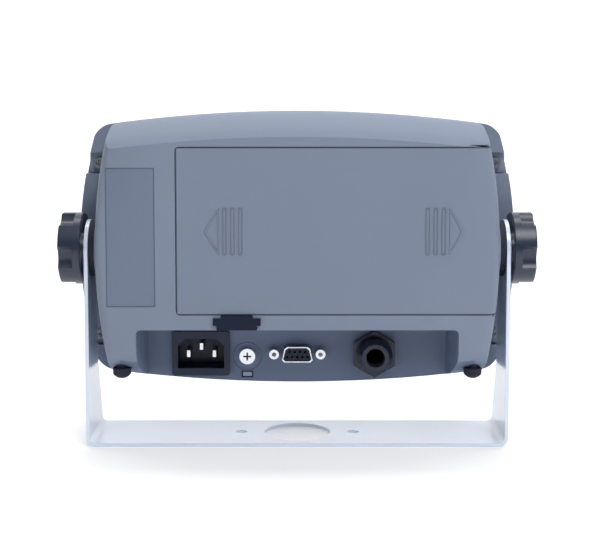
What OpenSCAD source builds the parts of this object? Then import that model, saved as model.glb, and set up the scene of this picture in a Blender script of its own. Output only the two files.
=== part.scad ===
// Bench weighing indicator in a tilting U bracket.
// The origin is on the mounting surface, at the middle of the bracket's cable hole.
// X runs along the indicator, Z is up, and the connector side faces -Y.

/* [Bracket] */
// Depth of the bracket's base
base_d = 48; // [40:1:60]
// Thickness of the bent sheet
sheet_t = 2; // [1.5:0.1:2.4]
// Outer radius of the two bends
bend_r = 5; // [3:0.5:8]
// Radius of the rounded tops of the arms
arm_r = 15.5; // [13:0.5:17]
// Height at which the arms start to widen towards the base
flare_z = 46; // [30:1:50]
// Diameter of the large cable hole in the base
cable_hole_d = 36; // [20:1:40]
// Diameter of the two fixing holes in the base
fixing_d = 6.5; // [3:0.5:9]
// Distance between the two fixing holes
fixing_gap = 61.4; // [50:0.1:90]

/* [Pivot and knobs] */
// Height of the tilt axis over the mounting surface
pivot_z = 105; // [100:1:130]
// Diameter of the threaded studs
stud_d = 8; // [6:0.5:9]
// Diameter of the brass inserts
insert_d = 12; // [11:0.5:14]
// Diameter of the friction discs
disc_d = 30; // [22:1:32]
// Thickness of the friction discs
disc_t = 3.2; // [2:0.1:5]
// Diameter of the washers under the knobs
washer_d = 18; // [14:1:24]
// Thickness of the washers
washer_t = 1.3; // [0.8:0.1:1.4]
// Diameter of a knob
knob_d = 38.5; // [32:0.5:42]
// Length of a knob's grips
grip_l = 7.6; // [6:0.1:10]
// Length of the plain band between a knob's grips and the arm
band_w = 4.3; // [4:0.1:7]
// Radius of the finger recesses in a knob
grip_r = 8; // [6:0.5:9]
// Number of finger recesses in a knob
grips = 5; // [4:1:6]

/* [Housing] */
// Half width of the rear housing where it meets the front housing
rear_half_w = 107; // [105:0.5:108]
// Half height of the rear housing
rear_half_h = 73.2; // [72:0.2:75]
// Distance from the tilt axis back to the rear face
rear_d = 27.5; // [26:0.5:32]
// Clearance between the knobs and the back of the front housing
knob_clear = 0.75; // [0.5:0.05:2]
// Depth of the front housing
front_l = 25.5; // [25:0.5:30]
// Wall of both housings
wall = 2.5; // [2:0.1:2.8]
// Radius of the top and bottom curves
crown_r = 760; // [600:10:1200]
// Radius of the rear housing's bowed sides
side_r = 280; // [220:5:400]
// How far the front housing reaches past each side of the rear housing
front_side = 13; // [12:0.5:16]
// How much lower the front housing reaches than the rear housing
front_drop = 4.2; // [2:0.2:6]
// Radius of the front housing's bowed sides
front_side_r = 225; // [200:5:300]
// Radius of the front housing's corners
front_corner_r = 14; // [10:0.5:18]
// Length of the bare label field on the rear
label_h = 72; // [40:1:72]
// Width of the bare label field on the rear
label_w = 25; // [10:1:28]
// Diameter of the rubber feet
foot_d = 9.5; // [7:0.5:11]
// Height of the rubber feet
foot_h = 5.6; // [4:0.2:8]

/* [Connector bay] */
// Distance from the bay's ends to the housing's sides, at the rear face
bay_side = 23; // [21:0.5:27]
// Height of the bay over the lowest line of the rear housing
bay_h = 33.5; // [33.2:0.1:34]
// Depth from the rear face to the connector panel
bay_d = 27; // [24:0.5:29]
// How much each side of the bay narrows towards the panel
bay_draft = 3.6; // [1:0.2:5]
// Width of the mains inlet's bezel
inlet_w = 31; // [30:0.5:34]
// Height of the mains inlet's bezel
inlet_h = 24.2; // [23.4:0.2:26]
// Distance between the serial connector's jack screws
jack_gap = 25; // [24.5:0.1:25.5]
// Width across the flats of the cable gland
gland_af = 22; // [20:0.5:24]
// Diameter of the gland's cable opening
gland_bore_d = 10; // [6:0.5:11]
// Diameter of the gland's thread
gland_thread_d = 18.6; // [16:0.2:19]
// Diameter of the security screw's head
seal_screw_d = 8.6; // [7:0.2:10]

/* [Battery compartment] */
// How far the battery cover's left edge lies outside the battery tray
cover_lap = 0.8; // [0.6:0.2:4]
// Height of the battery cover's lower edge over the lowest line of the rear housing
cover_up = 41.6; // [41.4:0.1:42]
// Distance of the battery cover's upper edge under the highest line of the rear housing
cover_down = 17.7; // [17.2:0.1:19]
// Thickness of the battery cover
cover_t = 2.4; // [2:0.1:2.5]
// Travel of the cover's latch
latch_travel = 2; // [1:0.1:2.2]
// Diameter of a battery cell
cell_d = 26.2; // [20:0.1:26.4]
// Length of a battery cell with its button
cell_l = 50; // [40:0.5:50]
// Cells in each of the two rows
cells_per_row = 3; // [1:1:3]

/* [Front panel] */
// Width of the front housing's rim beside the overlay
overlay_side = 20; // [18:0.5:30]
// Width of the front housing's rim above and below the overlay
overlay_rim = 14.1; // [13:0.1:16]
// Width of the display window
window_w = 130; // [100:1:140]
// Height of the display window
window_h = 42; // [30:1:46]
// Width of a key
key_w = 24; // [16:0.5:28]
// Height of a key
key_h = 13; // [10:0.5:15]
// Travel of a key
key_travel = 1; // [0.5:0.1:1.2]
// Distance from one key to the next
key_gap = 44; // [36:1:50]

/* [Inside] */
// Distance of the main board's short edges inside those of the overlay
board_end = 6; // [4:0.5:15]
// Distance of the main board's long edges inside those of the overlay
board_edge = 5; // [3:0.5:8]
// Thickness of the circuit boards
board_t = 1.6; // [1:0.1:2]
// Width of the power board
power_w = 84; // [60:1:90]
// Height of the power board
power_h = 30; // [26:1:32]

/* [Fits] */
// Gap round covers, keys and other loose-fitting parts
gap = 0.3; // [0.2:0.05:0.4]
// Radial running clearance of a stud in its insert
run_fit = 0.05; // [0.02:0.01:0.09]
// Gap between parts that are fixed to each other
seat_gap = 0.1; // [0.05:0.01:0.15]

/* [Hidden] */
$fn = 64;
over = 1;
crown_fn = 720;
side_fn = 360;

// Layers outwards from the housing at each pivot, in X
pad_x = rear_half_w + seat_gap;
disc_in = pad_x + seat_gap;
disc_out = disc_in + disc_t;
arm_in = disc_out + seat_gap;
arm_out = arm_in + sheet_t;
washer_in = arm_out + seat_gap;
knob_in = washer_in + washer_t + seat_gap;
knob_mid = knob_in + band_w;
knob_out = knob_mid + grip_l;
stud_head_x = knob_mid - band_w / 4;
pad_edge = 1;
pad_depth = 8;
insert_l = 12;
insert_in = rear_half_w - insert_l;
insert_boss = 3;
stud_rest = 2;
stud_head_d = 12;
stud_head_w = 4;
grip_depth = 3.45;
knob_edge = 0.6;
grip_turn = 9;
dish_d = 18;
dish_depth = 0.8;

// Bracket, in the frame of the mounting surface
bracket_w = 2 * arm_out;
pivot_y = arm_r - base_d / 2;
stud_hole_d = stud_d + 2 * gap;

// Rear housing, in the frame of the tilt axis
rear_y = -rear_d;
seam_d = knob_d / 2 + knob_clear;
lap_l = 6.5;
lap_step = 1.4;
rear_end = seam_d + lap_l;
rear_corner_r = 7;
corner_ease = 0.4;
corner_over = 0.06;
// Each edge falls back over a run, as shares of that run and of its drop
top_run = 31;
top_drop = 12.4;
top_shares = [[0, 1], [0.1, 0.73], [0.26, 0.5], [0.52, 0.23], [0.8, 0.05], [1, 0]];
low_run = 31;
low_drop = 15.9;
low_shares = [[0, 1], [0.07, 0.73], [0.29, 0.43], [0.57, 0.15], [0.85, 0.02], [1, 0]];
side_run = 31;
side_drop = 5.6;
side_shares = [[0, 1], [0.03, 0.64], [0.09, 0.38], [0.21, 0.22], [1, 0.05]];
label_in = 8.1;
label_x = label_in - rear_half_w;
label_z = -27.3;
label_depth = 0.3;

// Ears of the rear housing, which the housing screws pass through
ear_down = 28.7;
ear_up = 22.2;
ear_zs = [rear_half_h - ear_down, ear_up - rear_half_h];
ear_half = 5.5;
ear_t = 2.5;
ear_y = rear_end - ear_t;
ear_w = 7.5;
ear_out = rear_half_w + ear_w;
ear_screw_w = 2.3;
ear_screw_x = rear_half_w + ear_screw_w;
pocket_w = 4;
pocket_in = rear_half_w - pocket_w;
screw_head_d = 6;
screw_head_h = 2.2;
screw_d = 2.9;
screw_l = 11;
cross_w = 3.2;
cross_t = 0.8;
cross_depth = 1.2;
feet_in = 14.5;
feet_x = rear_half_w - feet_in;
feet_back = 9;
foot_up = 12;
foot_top = foot_up - rear_half_h;
foot_neck_d = 5;
foot_neck_h = 2;
foot_boss = 5;
foot_flat = 3.2;

// Front housing
front_d = seam_d + front_l;
front_half_w = rear_half_w + front_side;
top_step = 0.3;
front_half_h = rear_half_h + (front_drop - top_step) / 2;
front_lower = (front_drop + top_step) / 2;
flange_t = 2.5;
seal_w = 2;
seal_h = 1.3;
ledge_y = rear_end + seal_h + 2 * seat_gap;
ledge_t = 2;
ledge_in = 4;
front_run = 6;
front_fall = 4.6;
front_shares = [[0, 1], [0.2, 0.48], [0.5, 0.17], [1, 0]];
boss_d = 7.5;
boss_l = 11.5;
front_in = front_d - wall;

// Connector bay and its panel
bay_top = bay_h - rear_half_h;
bay_half_w = rear_half_w - bay_side;
bay_r = 2.4;
panel_y = rear_y + bay_d;
panel_in = panel_y + wall;
row_up = 16.2;
row_z = row_up - rear_half_h;

// Mains inlet
inlet_x = -52;
inlet_body_w = 27;
inlet_body_h = 20;
inlet_t = 2.5;
inlet_back = 14;
inlet_r = 1.5;
socket_w = 25;
socket_h = 16;
socket_corner = 4;
socket_back = 11;
blade_w = 4;
blade_t = 2;
blade_out = 9;
blade_tail = 5;
blade_gap = 14;
earth_lift = 3;
blade_drop = 1;

// Serial connector
serial_w = 16.4;
serial_h = 8.4;
serial_slant = 1.5;
serial_cut = 1.2;
serial_shell_t = 0.6;
serial_out = 5.8;
serial_back = 6.5;
serial_flange_w = 31;
serial_flange_h = 12.5;
serial_flange_t = 1;
serial_pin_gap = 2.77;
serial_row_gap = 2.84;
serial_pin_d = 1.3;
serial_pin_depth = 3;
serial_row_pins = [5, 4];
jack_d = 5.4;
jack_head_h = 5;
jack_shank_d = 2.9;
jack_shank_l = 6;
jack_bore_d = 2.2;
jack_bore_l = 5;

// Cable gland
gland_x = 41.5;
gland_hex_h = 5;
gland_dome_d = 18.8;
gland_dome_h = 9.5;
gland_cone = 2.2;
gland_stub_d = 15;
gland_stub_h = 7;
gland_seal_d = 13;
gland_thread_l = 9;
gland_nut_h = 4;
gland_turn = 30;
gland_bore_in_d = 11.2;

// Security screw and the small sealing insert
seal_screw_x = -27;
seal_screw_drop = 1.6;
seal_screw_z = row_z - seal_screw_drop;
seal_ring_d = 16;
seal_ring_w = 0.7;
seal_ring_depth = 0.3;
seal_head_h = 2.6;
seal_shank_d = 3.9;
seal_shank_l = 8;
seal_boss_d = 7;
seal_insert_w = 6.6;
seal_insert_h = 3.2;
seal_insert_drop = 11.7;
seal_insert_z = row_z - seal_insert_drop;
seal_insert_depth = 1;
seal_insert_edge = 0.9;

// Battery compartment
tray_side = 12.3;
tray_l = 156.7;
tray_right = rear_half_w - tray_side;
tray_left = tray_right - tray_l;
cover_left = cover_lap - tray_left;
cover_low = rear_half_h - cover_up;
cover_high = rear_half_h - cover_down;
cover_in = cover_t + seat_gap;
cover_r = 2;
seat_t = 2.3;
seat_lap = 0.6;
seat_edge = 0.9;
seat_root = 0.5;
tongue_h = 0.8;
tongue_t = 1.2;
tongue_start = 2;
tongue_stop = 37;
tongue_end = rear_half_w - tongue_stop;
cover_wrap = 7.5;
mark_t = 0.35;
mark_line = 0.7;
mark_z = (cover_high - cover_low) / 2;
mark_h = 24.5;
arrow_w = 7.6;
pill_w = 2.1;
pill_step = 4.1;
pill_start = 9.5;
pills = 3;
arrow_in = 14.6;
arrow_stop = 20.8;
arrow_tips = [arrow_in - cover_left, rear_half_w - arrow_stop];
tray_in = 0.6;
tray_low = tray_in - cover_low;
tray_high = cover_high - 2 * tray_in;
tray_wall = 1.5;
tray_y = rear_y + cover_in + seat_t + seat_gap;
tray_step = rear_y + cover_wrap + seat_edge + gap + seat_gap;
tray_depth = 28.5;
cell_lift = 0.5;
cell_room = 1.6;
row_in = tray_wall + cell_room + cell_d / 2;
row_zs = [tray_low + row_in, tray_high - row_in];
cell_y = tray_y + cell_d / 2 + cell_lift;
button_d = 7.5;
button_l = 1.5;
cell_gap = 0.1;
contact_t = 0.5;
contact_w = 16;
spring_l = 2.2;
spring_d = 12;
spring_top_d = 7;
rib_t = 2;
rib_shares = [0.2, 0.5, 0.8];

// Latch under the battery cover
latch_x = -31.4;
latch_w = 24.8;
latch_h = 3.8;
latch_top_w = 16.7;
latch_top_h = 1.5;
latch_low_w = 21;
latch_low_h = 2.4;
latch_proud = 1.5;
latch_stem_w = 15;
latch_stem_h = 1.6;
latch_hook_w = 20;
latch_hook_t = 1.4;
latch_gap = 0.2;
latch_z = -cover_low - latch_gap;

// Front overlay, display and keys
overlay_t = 0.6;
overlay_shift = 0.5;
overlay_z = -front_lower + overlay_shift;
overlay_h = 2 * (front_half_h - overlay_rim);
overlay_w = 2 * (front_half_w - overlay_side);
overlay_r = 8;
window_down = 40.3;
window_z = overlay_z + overlay_h / 2 - window_down;
window_rim = 3;
window_t = 1.2;
window_r = 2;
glass_t = 2.8;
frame_t = 2.4;
frame_lip = 1;
light_t = 4.4;
board_space = 1;
board_y = ledge_y + ledge_t + board_space;
board_h = overlay_h - 2 * board_edge;
board_w = overlay_w - 2 * board_end;
board_front = board_y + board_t;
light_y = board_front + seat_gap;
glass_y = light_y + light_t + seat_gap;
lip_y = glass_y + glass_t + seat_gap;
lip_t = 1.5;
key_up = 21.7;
key_z = overlay_z - overlay_h / 2 + key_up;
key_r = 3;
key_proud = 1.2;
key_lap = 1.8;
key_flange_t = 1.2;
key_rest_y = front_in - key_flange_t - seat_gap;
key_stem_d = 5;
key_mark_t = 0.2;
key_mark_d = 6.4;
key_mark_line = 0.8;
switch_w = 12;
switch_h = 3.8;
switch_plunger_d = 6;
switch_plunger_h = 1.2;
post_d = 7;
post_end = 6;
post_x = board_w / 2 - post_end;
post_edge = 7;
post_z = board_h / 2 - post_edge;
board_screw_d = 2.4;
board_screw_l = 7;
board_head_d = 5;
board_head_h = 1.8;

// Power board behind the connector panel
power_y = 21;
power_x = -8;
power_lift = 4;
power_z = row_z + power_lift;
power_post_d = 6;
power_post_xs = [-20, 22];
power_post_edge = 4;
power_post_z = power_h / 2 - power_post_edge;
core_w = 30;
core_h = 22;
core_t = 8;
coil_w = 20;
coil_h = 15;
coil_t = 11;
transformer_x = 1;
cap_d = 10;
cap_l = 11;
cap_x = 31;
buzzer_d = 12;
buzzer_h = 6;
buzzer_x = 70;
buzzer_up = 13;
buzzer_z = key_z + buzzer_up;
chip_w = 14;
chip_h = 10;
chip_t = 1.6;
chip_xs = [-60, -34, 52];
chip_up = 11;
chip_z = key_z + chip_up;
ribbon_w = 20;
ribbon_t = 0.9;
ribbon_x = 8;
ribbon_up = 24;
ribbon_top = key_z + ribbon_up;
ribbon_low = power_z + power_post_z;
plug_h = 5;

// A flat shape, drawn in X and Z, from y0 to y1
module along_y(y0, y1) {
    translate([0, y1, 0]) rotate([90, 0, 0]) linear_extrude(y1 - y0) children();
}

// A flat shape, drawn in Y and Z, from x0 to x1
module along_x(x0, x1) {
    translate([x0, 0, 0]) rotate([90, 0, 90]) linear_extrude(x1 - x0) children();
}

module rod_x(d, x0, x1) {
    translate([x0, 0, 0]) rotate([0, 90, 0]) cylinder(d = d, h = x1 - x0);
}

module rod_y(d, y0, y1) {
    translate([0, y1, 0]) rotate([90, 0, 0]) cylinder(d = d, h = y1 - y0);
}

module box(x0, x1, y0, y1, z0, z1) {
    translate([x0, y0, z0]) cube([x1 - x0, y1 - y0, z1 - z0]);
}

// A centred rectangle with round corners
module round_rect(w, h, r) {
    square([w - 2 * r, h], center = true);
    square([w, h - 2 * r], center = true);
    for (x = [-1, 1], z = [-1, 1])
        translate([x * (w / 2 - r), z * (h / 2 - r)]) circle(r);
}

module hexagon(af) {
    circle(d = af / cos(30), $fn = 6);
}

module at_pivot() {
    translate([0, pivot_y, pivot_z]) children();
}

// Where the rear casing's bowed side is, at a height above or below the tilt axis
function side_x(z) = rear_half_w - side_r + sqrt(side_r * side_r - z * z);

module both_sides() {
    children();
    mirror([1, 0, 0]) children();
}

// Centre of the corner circle that touches the crown arc and the side arc from inside
function corner_centre(hw, hh, rs, rt, rc) =
    let (
        a = [0, hh - rt],
        b = [hw - rs, 0],
        ra = rt - rc,
        rb = rs - rc,
        d = norm(b - a),
        u = (b - a) / d,
        t = (ra * ra - rb * rb + d * d) / (2 * d)
    )
    a + t * u + sqrt(ra * ra - t * t) * [u[1], -u[0]];

// The bowed outline that both housings share: half sizes, then side, crown and corner radii
module barrel(hw, hh, rs, rt, rc) {
    c = corner_centre(hw, hh, rs, rt, rc);
    top_c = [0, hh - rt];
    side_c = [hw - rs, 0];
    t1 = top_c + rt * (c - top_c) / norm(c - top_c);
    t2 = side_c + rs * (c - side_c) / norm(c - side_c);
    corner = [c, t1, [t1[0], hh + over], [hw + over, hh + over], [hw + over, t2[1]], t2];
    difference() {
        intersection() {
            translate([0, hh - rt]) circle(rt, $fn = crown_fn);
            translate([0, rt - hh]) circle(rt, $fn = crown_fn);
            translate([hw - rs, 0]) circle(rs, $fn = side_fn);
            translate([rs - hw, 0]) circle(rs, $fn = side_fn);
        }
        for (x = [-1, 1], z = [-1, 1])
            polygon([for (p = corner) [x * p[0], z * p[1]]]);
    }
    for (x = [-1, 1], z = [-1, 1])
        translate([x * c[0], z * c[1]]) circle(rc + corner_over);
}

// A large disc round an axis along Y, whose rim falls back towards one face
module rim_disc(r, face, end, shares, run, drop, inset) {
    s = end > face ? 1 : -1;
    rotate([-90, 0, 0]) rotate_extrude($fn = r > crown_r / 2 ? crown_fn : side_fn)
        polygon(concat(
            [[0, face + s * inset]],
            [for (p = shares) [r - inset - p[1] * drop, face + s * (inset + p[0] * run)]],
            [[r - inset, end], [0, end]]
        ));
}

// The solid inside a bowed casing: where its face is, how far in, and where it ends
module casing(hw, hh, rs, rc, face, end, inset, top, low, side) {
    s = end > face ? 1 : -1;
    y0 = min(face + s * inset, end);
    y1 = max(face + s * inset, end);
    intersection() {
        along_y(y0, y1) barrel(hw + corner_ease - inset, hh + corner_ease - inset,
            rs - inset, crown_r - inset, rc - inset);
        translate([0, 0, hh - crown_r])
            rim_disc(crown_r, face, end, top[0], top[1], top[2], inset);
        translate([0, 0, crown_r - hh])
            rim_disc(crown_r, face, end, low[0], low[1], low[2], inset);
        translate([hw - rs, 0, 0])
            rim_disc(rs, face, end, side[0], side[1], side[2], inset);
        translate([rs - hw, 0, 0])
            rim_disc(rs, face, end, side[0], side[1], side[2], inset);
    }
}

module rear_solid(inset, end) {
    casing(rear_half_w, rear_half_h, side_r, rear_corner_r, rear_y, end, inset,
        [top_shares, top_run, top_drop], [low_shares, low_run, low_drop],
        [side_shares, side_run, side_drop]);
}

module front_solid(inset, end) {
    edge = [front_shares, front_run, front_fall];
    translate([0, 0, -front_lower])
        casing(front_half_w, front_half_h, front_side_r, front_corner_r, front_d, end, inset,
            edge, edge, edge);
}

module rear_outline(grow) {
    barrel(rear_half_w + grow, rear_half_h + grow, side_r + grow, crown_r + grow,
        rear_corner_r + grow);
}

// A pan-head screw along Y with a cross recess; the head's underside is at y = 0
module screw(head_d, head_h, shank_d, shank_l, cross) {
    difference() {
        rod_y(head_d, -head_h, 0);
        if (cross > 0) {
            box(-cross / 2, cross / 2, -head_h - over, cross_depth - head_h,
                -cross_t / 2, cross_t / 2);
            box(-cross_t / 2, cross_t / 2, -head_h - over, cross_depth - head_h,
                -cross / 2, cross / 2);
        }
    }
    rod_y(shank_d, 0, shank_l);
}

// The bent steel bracket with its cable hole and fixing holes
module bracket() {
    tall = pivot_z + arm_r + over;
    color([0.86, 0.9, 0.96]) difference() {
        intersection() {
            along_y(-base_d / 2, base_d / 2) difference() {
                translate([0, tall]) round_rect(bracket_w, 2 * tall, bend_r);
                translate([0, tall + sheet_t])
                    round_rect(2 * arm_in, 2 * tall, bend_r - sheet_t);
            }
            along_x(-bracket_w, bracket_w) {
                polygon([[-base_d / 2, 0], [base_d / 2, 0], [base_d / 2, sheet_t],
                    [pivot_y + arm_r, flare_z], [pivot_y + arm_r, pivot_z],
                    [pivot_y - arm_r, pivot_z]]);
                translate([pivot_y, pivot_z]) circle(arm_r);
            }
        }
        translate([0, 0, -over]) cylinder(d = cable_hole_d, h = sheet_t + 2 * over);
        for (x = [-1, 1]) translate([x * fixing_gap / 2, 0, -over])
            cylinder(d = fixing_d, h = sheet_t + 2 * over);
        at_pivot() rod_x(stud_hole_d, -bracket_w, bracket_w);
    }
}

// The hollow that the connector bay takes out, or the block round it
module bay(grow, end) {
    low = -rear_half_h - over;
    top = bay_top + grow;
    h = top - low;
    a = bay_half_w + grow;
    b = a - bay_draft * (end - rear_y) / bay_d;
    intersection() {
        along_y(rear_y - over, end) translate([0, low]) {
            translate([-a, 0]) square([2 * a, h - bay_r - grow]);
            translate([bay_r + grow - a, 0]) square([2 * (a - bay_r - grow), h]);
            for (x = [-1, 1])
                translate([x * (a - bay_r - grow), h - bay_r - grow]) circle(bay_r + grow);
        }
        translate([0, 0, low - over]) linear_extrude(h + 2 * over)
            polygon([[-a, rear_y - over], [-a, rear_y], [-b, end], [b, end],
                [a, rear_y], [a, rear_y - over]]);
    }
}

// Outline of a D-shaped connector, wide side down
module d_outline(grow) {
    w = serial_w / 2 + grow;
    n = w - serial_slant;
    h = serial_h / 2 + grow;
    c = serial_cut;
    polygon([[-w, c - h], [c - w, -h], [w - c, -h], [w, c - h],
        [n + c / 4, h - c], [n - c, h], [c - n, h], [-n - c / 4, h - c]]);
}

// The space that the battery cover fills, with its clearance and its round left corners
module cover_field(g) {
    high = cover_high + cover_low + 2 * g;
    wide = cover_left + 3 * rear_half_w;
    along_y(rear_y - over, rear_y + cover_wrap + g)
        translate([wide / 2 - cover_left - g, (cover_high - cover_low) / 2])
        round_rect(wide, high, cover_r + g);
}

// Rails on the cover's two long edges, or their grooves, which run out to the right
module cover_rails(g, end) {
    for (z = [[-cover_low - tongue_h, -cover_low], [cover_high, cover_high + tongue_h]])
        box(tongue_start - cover_left - g, end, rear_y + cover_t - tongue_t - g,
            rear_y + cover_t + g / 2, z[0] - g, z[1] + g);
}

// The rear casing's outside: its rim steps in where the front casing laps over it
module rear_body() {
    rear_solid(0, seam_d - seat_gap);
    along_y(panel_in, rear_end) rear_outline(-lap_step);
}

// The rear casing, with the connector panel, the cover's seat, the pivots and the ears
module rear_housing() {
    color([0.49, 0.55, 0.62]) at_pivot() difference() {
        union() {
            difference() {
                rear_body();
                rear_solid(wall, rear_end + over);
            }
            intersection() {
                rear_body();
                bay(wall, panel_in);
            }
            intersection() {
                difference() {
                    rear_solid(seat_root, rear_end);
                    rear_solid(cover_in + seat_t, rear_end + over);
                }
                box(-cover_left - seat_edge - gap, rear_half_w + over, rear_y - over,
                    rear_y + cover_wrap + seat_edge + gap,
                    -cover_low - seat_edge - gap, cover_high + seat_edge + gap);
            }
            both_sides() {
                rod_x(disc_d + 2 * pad_edge, rear_half_w - pad_depth, pad_x);
                rod_x(insert_d + 2 * insert_boss, insert_in, rear_half_w);
                for (z = ear_zs)
                    box(side_x(abs(z) + ear_half) - (lap_step + wall) / 2, ear_out,
                        ear_y, rear_end, z - ear_half, z + ear_half);
                intersection() {
                    rear_solid(0, rear_end);
                    translate([feet_x, rear_y + feet_back, foot_top - foot_boss])
                        cylinder(d = foot_d + wall, h = 2 * foot_boss);
                }
            }
            for (x = power_post_xs, z = [-1, 1])
                translate([x, 0, power_z + z * power_post_z])
                    rod_y(power_post_d, panel_y + wall / 2, power_y - seat_gap);
            translate([seal_screw_x, 0, seal_screw_z])
                rod_y(seal_boss_d, panel_y + wall / 2, panel_y + seal_shank_l + wall);
        }
        bay(0, panel_y);
        difference() {
            cover_field(gap);
            rear_solid(cover_in, rear_end + over);
        }
        cover_rails(gap, rear_half_w + over);
        box(tray_left + tray_wall, tray_right - tray_wall, rear_y - over, tray_y,
            tray_low + tray_wall, tray_high - tray_wall);
        box(label_x, label_x + label_w, rear_y - over, rear_y + label_depth,
            label_z, label_z + label_h);
        both_sides() {
            rod_x(insert_d + 2 * seat_gap, insert_in - over, pad_x + over);
            for (z = ear_zs) translate([ear_screw_x, 0, z])
                rod_y(screw_d + 2 * seat_gap, ear_y - over, rear_end + over);
            translate([feet_x, rear_y + feet_back, foot_top - 2 * foot_boss])
                cylinder(d = foot_d + 2 * gap, h = 2 * foot_boss + seat_gap);
            translate([feet_x, rear_y + feet_back, foot_top - over])
                cylinder(d = foot_neck_d + 2 * seat_gap, h = foot_neck_h + over + seat_gap);
        }
        translate([inlet_x, 0, row_z]) along_y(panel_y - over, panel_in + over)
            square([inlet_body_w + 2 * seat_gap, inlet_body_h + 2 * seat_gap], center = true);
        translate([0, 0, row_z]) {
            along_y(panel_y - over, panel_in + over) d_outline(seat_gap);
            for (x = [-1, 1]) translate([x * jack_gap / 2, 0, 0])
                rod_y(jack_shank_d + 2 * seat_gap, panel_y - over, panel_in + over);
        }
        translate([gland_x, 0, row_z])
            rod_y(gland_thread_d + 2 * gap, panel_y - over, panel_in + over);
        translate([seal_screw_x, 0, seal_screw_z]) {
            rod_y(seal_shank_d + 2 * seat_gap, panel_y - over,
                panel_y + seal_shank_l + seat_gap);
            difference() {
                rod_y(seal_ring_d, panel_y - over, panel_y + seal_ring_depth);
                rod_y(seal_ring_d - 2 * seal_ring_w, panel_y - 2 * over, panel_y + over);
            }
        }
        box(seal_screw_x - seal_insert_w / 2, seal_screw_x + seal_insert_w / 2,
            panel_y - over, panel_y + seal_insert_depth,
            seal_insert_z - seal_insert_h / 2, seal_insert_z + seal_insert_h / 2);
        box(latch_x - latch_stem_w / 2 - gap, latch_x + latch_stem_w / 2 + gap,
            rear_y - over, rear_y + wall + over,
            latch_z - latch_top_h - latch_stem_h - latch_travel - seat_gap,
            latch_z - latch_top_h + seat_gap);
        for (x = power_post_xs, z = [-1, 1])
            translate([x, 0, power_z + z * power_post_z])
                rod_y(board_screw_d + 2 * seat_gap, power_y - board_screw_l, power_y + over);
    }
}

// The front casing, with its flange, screw pockets, display window and key openings
module front_housing() {
    color([0.3, 0.34, 0.4]) at_pivot() difference() {
        union() {
            difference() {
                front_solid(0, seam_d);
                front_solid(wall, seam_d + flange_t);
            }
            intersection() {
                front_solid(0, seam_d);
                union() {
                    along_y(ledge_y, ledge_y + ledge_t)
                        square([3 * front_half_w, 3 * front_half_h], center = true);
                    for (x = [-1, 1], z = ear_zs) translate([x * ear_screw_x, 0, z])
                        rod_y(boss_d, rear_end + seat_gap, rear_end + boss_l);
                }
            }
            for (x = [-1, 1], z = [-1, 1])
                translate([x * post_x, 0, overlay_z + z * post_z])
                    rod_y(post_d, board_front + seat_gap, front_in + wall / 2);
        }
        along_y(seam_d - over, ledge_y) rear_outline(gap - lap_step);
        difference() {
            along_y(ledge_y - over, ledge_y + ledge_t + over) rear_outline(-ledge_in);
            for (x = [-1, 1], z = ear_zs) translate([x * ear_screw_x, 0, z])
                rod_y(boss_d, rear_end, rear_end + boss_l);
        }
        both_sides() for (z = ear_zs) {
            box(pocket_in, front_half_w + over, seam_d - over, rear_end + seat_gap,
                z - ear_half - gap, z + ear_half + gap);
            translate([ear_screw_x, 0, z])
                rod_y(screw_d + 2 * seat_gap, rear_end, ear_y + screw_l + seat_gap);
        }
        translate([0, 0, overlay_z])
            along_y(front_d - overlay_t - seat_gap, front_d + over)
            round_rect(overlay_w + 2 * gap, overlay_h + 2 * gap, overlay_r + gap);
        translate([0, 0, window_z]) {
            along_y(front_in - over, front_d + over)
                round_rect(window_w, window_h, window_r);
            along_y(front_d - overlay_t - window_t - 2 * seat_gap, front_d + over)
                round_rect(window_w + 2 * (window_rim + gap),
                    window_h + 2 * (window_rim + gap), window_r + gap);
        }
        for (n = [0 : 3]) translate([key_x(n), 0, key_z])
            along_y(front_in - over, front_d + over)
            round_rect(key_w + 2 * gap, key_h + 2 * gap, key_r + gap);
        for (x = [-1, 1], z = [-1, 1])
            translate([x * post_x, 0, overlay_z + z * post_z])
                rod_y(board_screw_d + 2 * seat_gap, board_front,
                    board_y + board_screw_l + seat_gap);
    }
}

function key_x(n) = (n - 1.5) * key_gap;

// The rubber seal in the joint between the two casings
module housing_seal() {
    color([0.1, 0.1, 0.1]) at_pivot()
        along_y(rear_end + seat_gap, rear_end + seat_gap + seal_h) difference() {
            rear_outline(-lap_step);
            rear_outline(-lap_step - seal_w);
        }
}

// Four screws that join the casings, in the corner pockets
module housing_screws() {
    color([0.8, 0.82, 0.85]) at_pivot() for (x = [-1, 1], z = ear_zs)
        translate([x * ear_screw_x, ear_y - seat_gap, z])
            screw(screw_head_d, screw_head_h, screw_d, screw_l, cross_w);
}

// The two rubber feet under the rear corners
module rubber_feet() {
    dome_r = foot_d * foot_d / (8 * (foot_h - foot_flat)) + (foot_h - foot_flat) / 2;
    color([0.12, 0.13, 0.16]) at_pivot() both_sides()
        translate([feet_x, rear_y + feet_back, foot_top]) {
            intersection() {
                translate([0, 0, -foot_h]) cylinder(d = foot_d, h = foot_h);
                union() {
                    translate([0, 0, dome_r - foot_h]) sphere(dome_r);
                    translate([0, 0, -foot_flat]) cylinder(d = foot_d + over, h = foot_h);
                }
            }
            translate([0, 0, -seat_gap]) cylinder(d = foot_neck_d, h = foot_neck_h + seat_gap);
        }
}

// Brass threaded inserts in the housing's sides
module pivot_inserts() {
    color([0.8, 0.65, 0.3]) at_pivot() both_sides() difference() {
        rod_x(insert_d, insert_in, rear_half_w);
        rod_x(stud_d + 2 * run_fit, insert_in - over, rear_half_w + over);
    }
}

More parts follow.
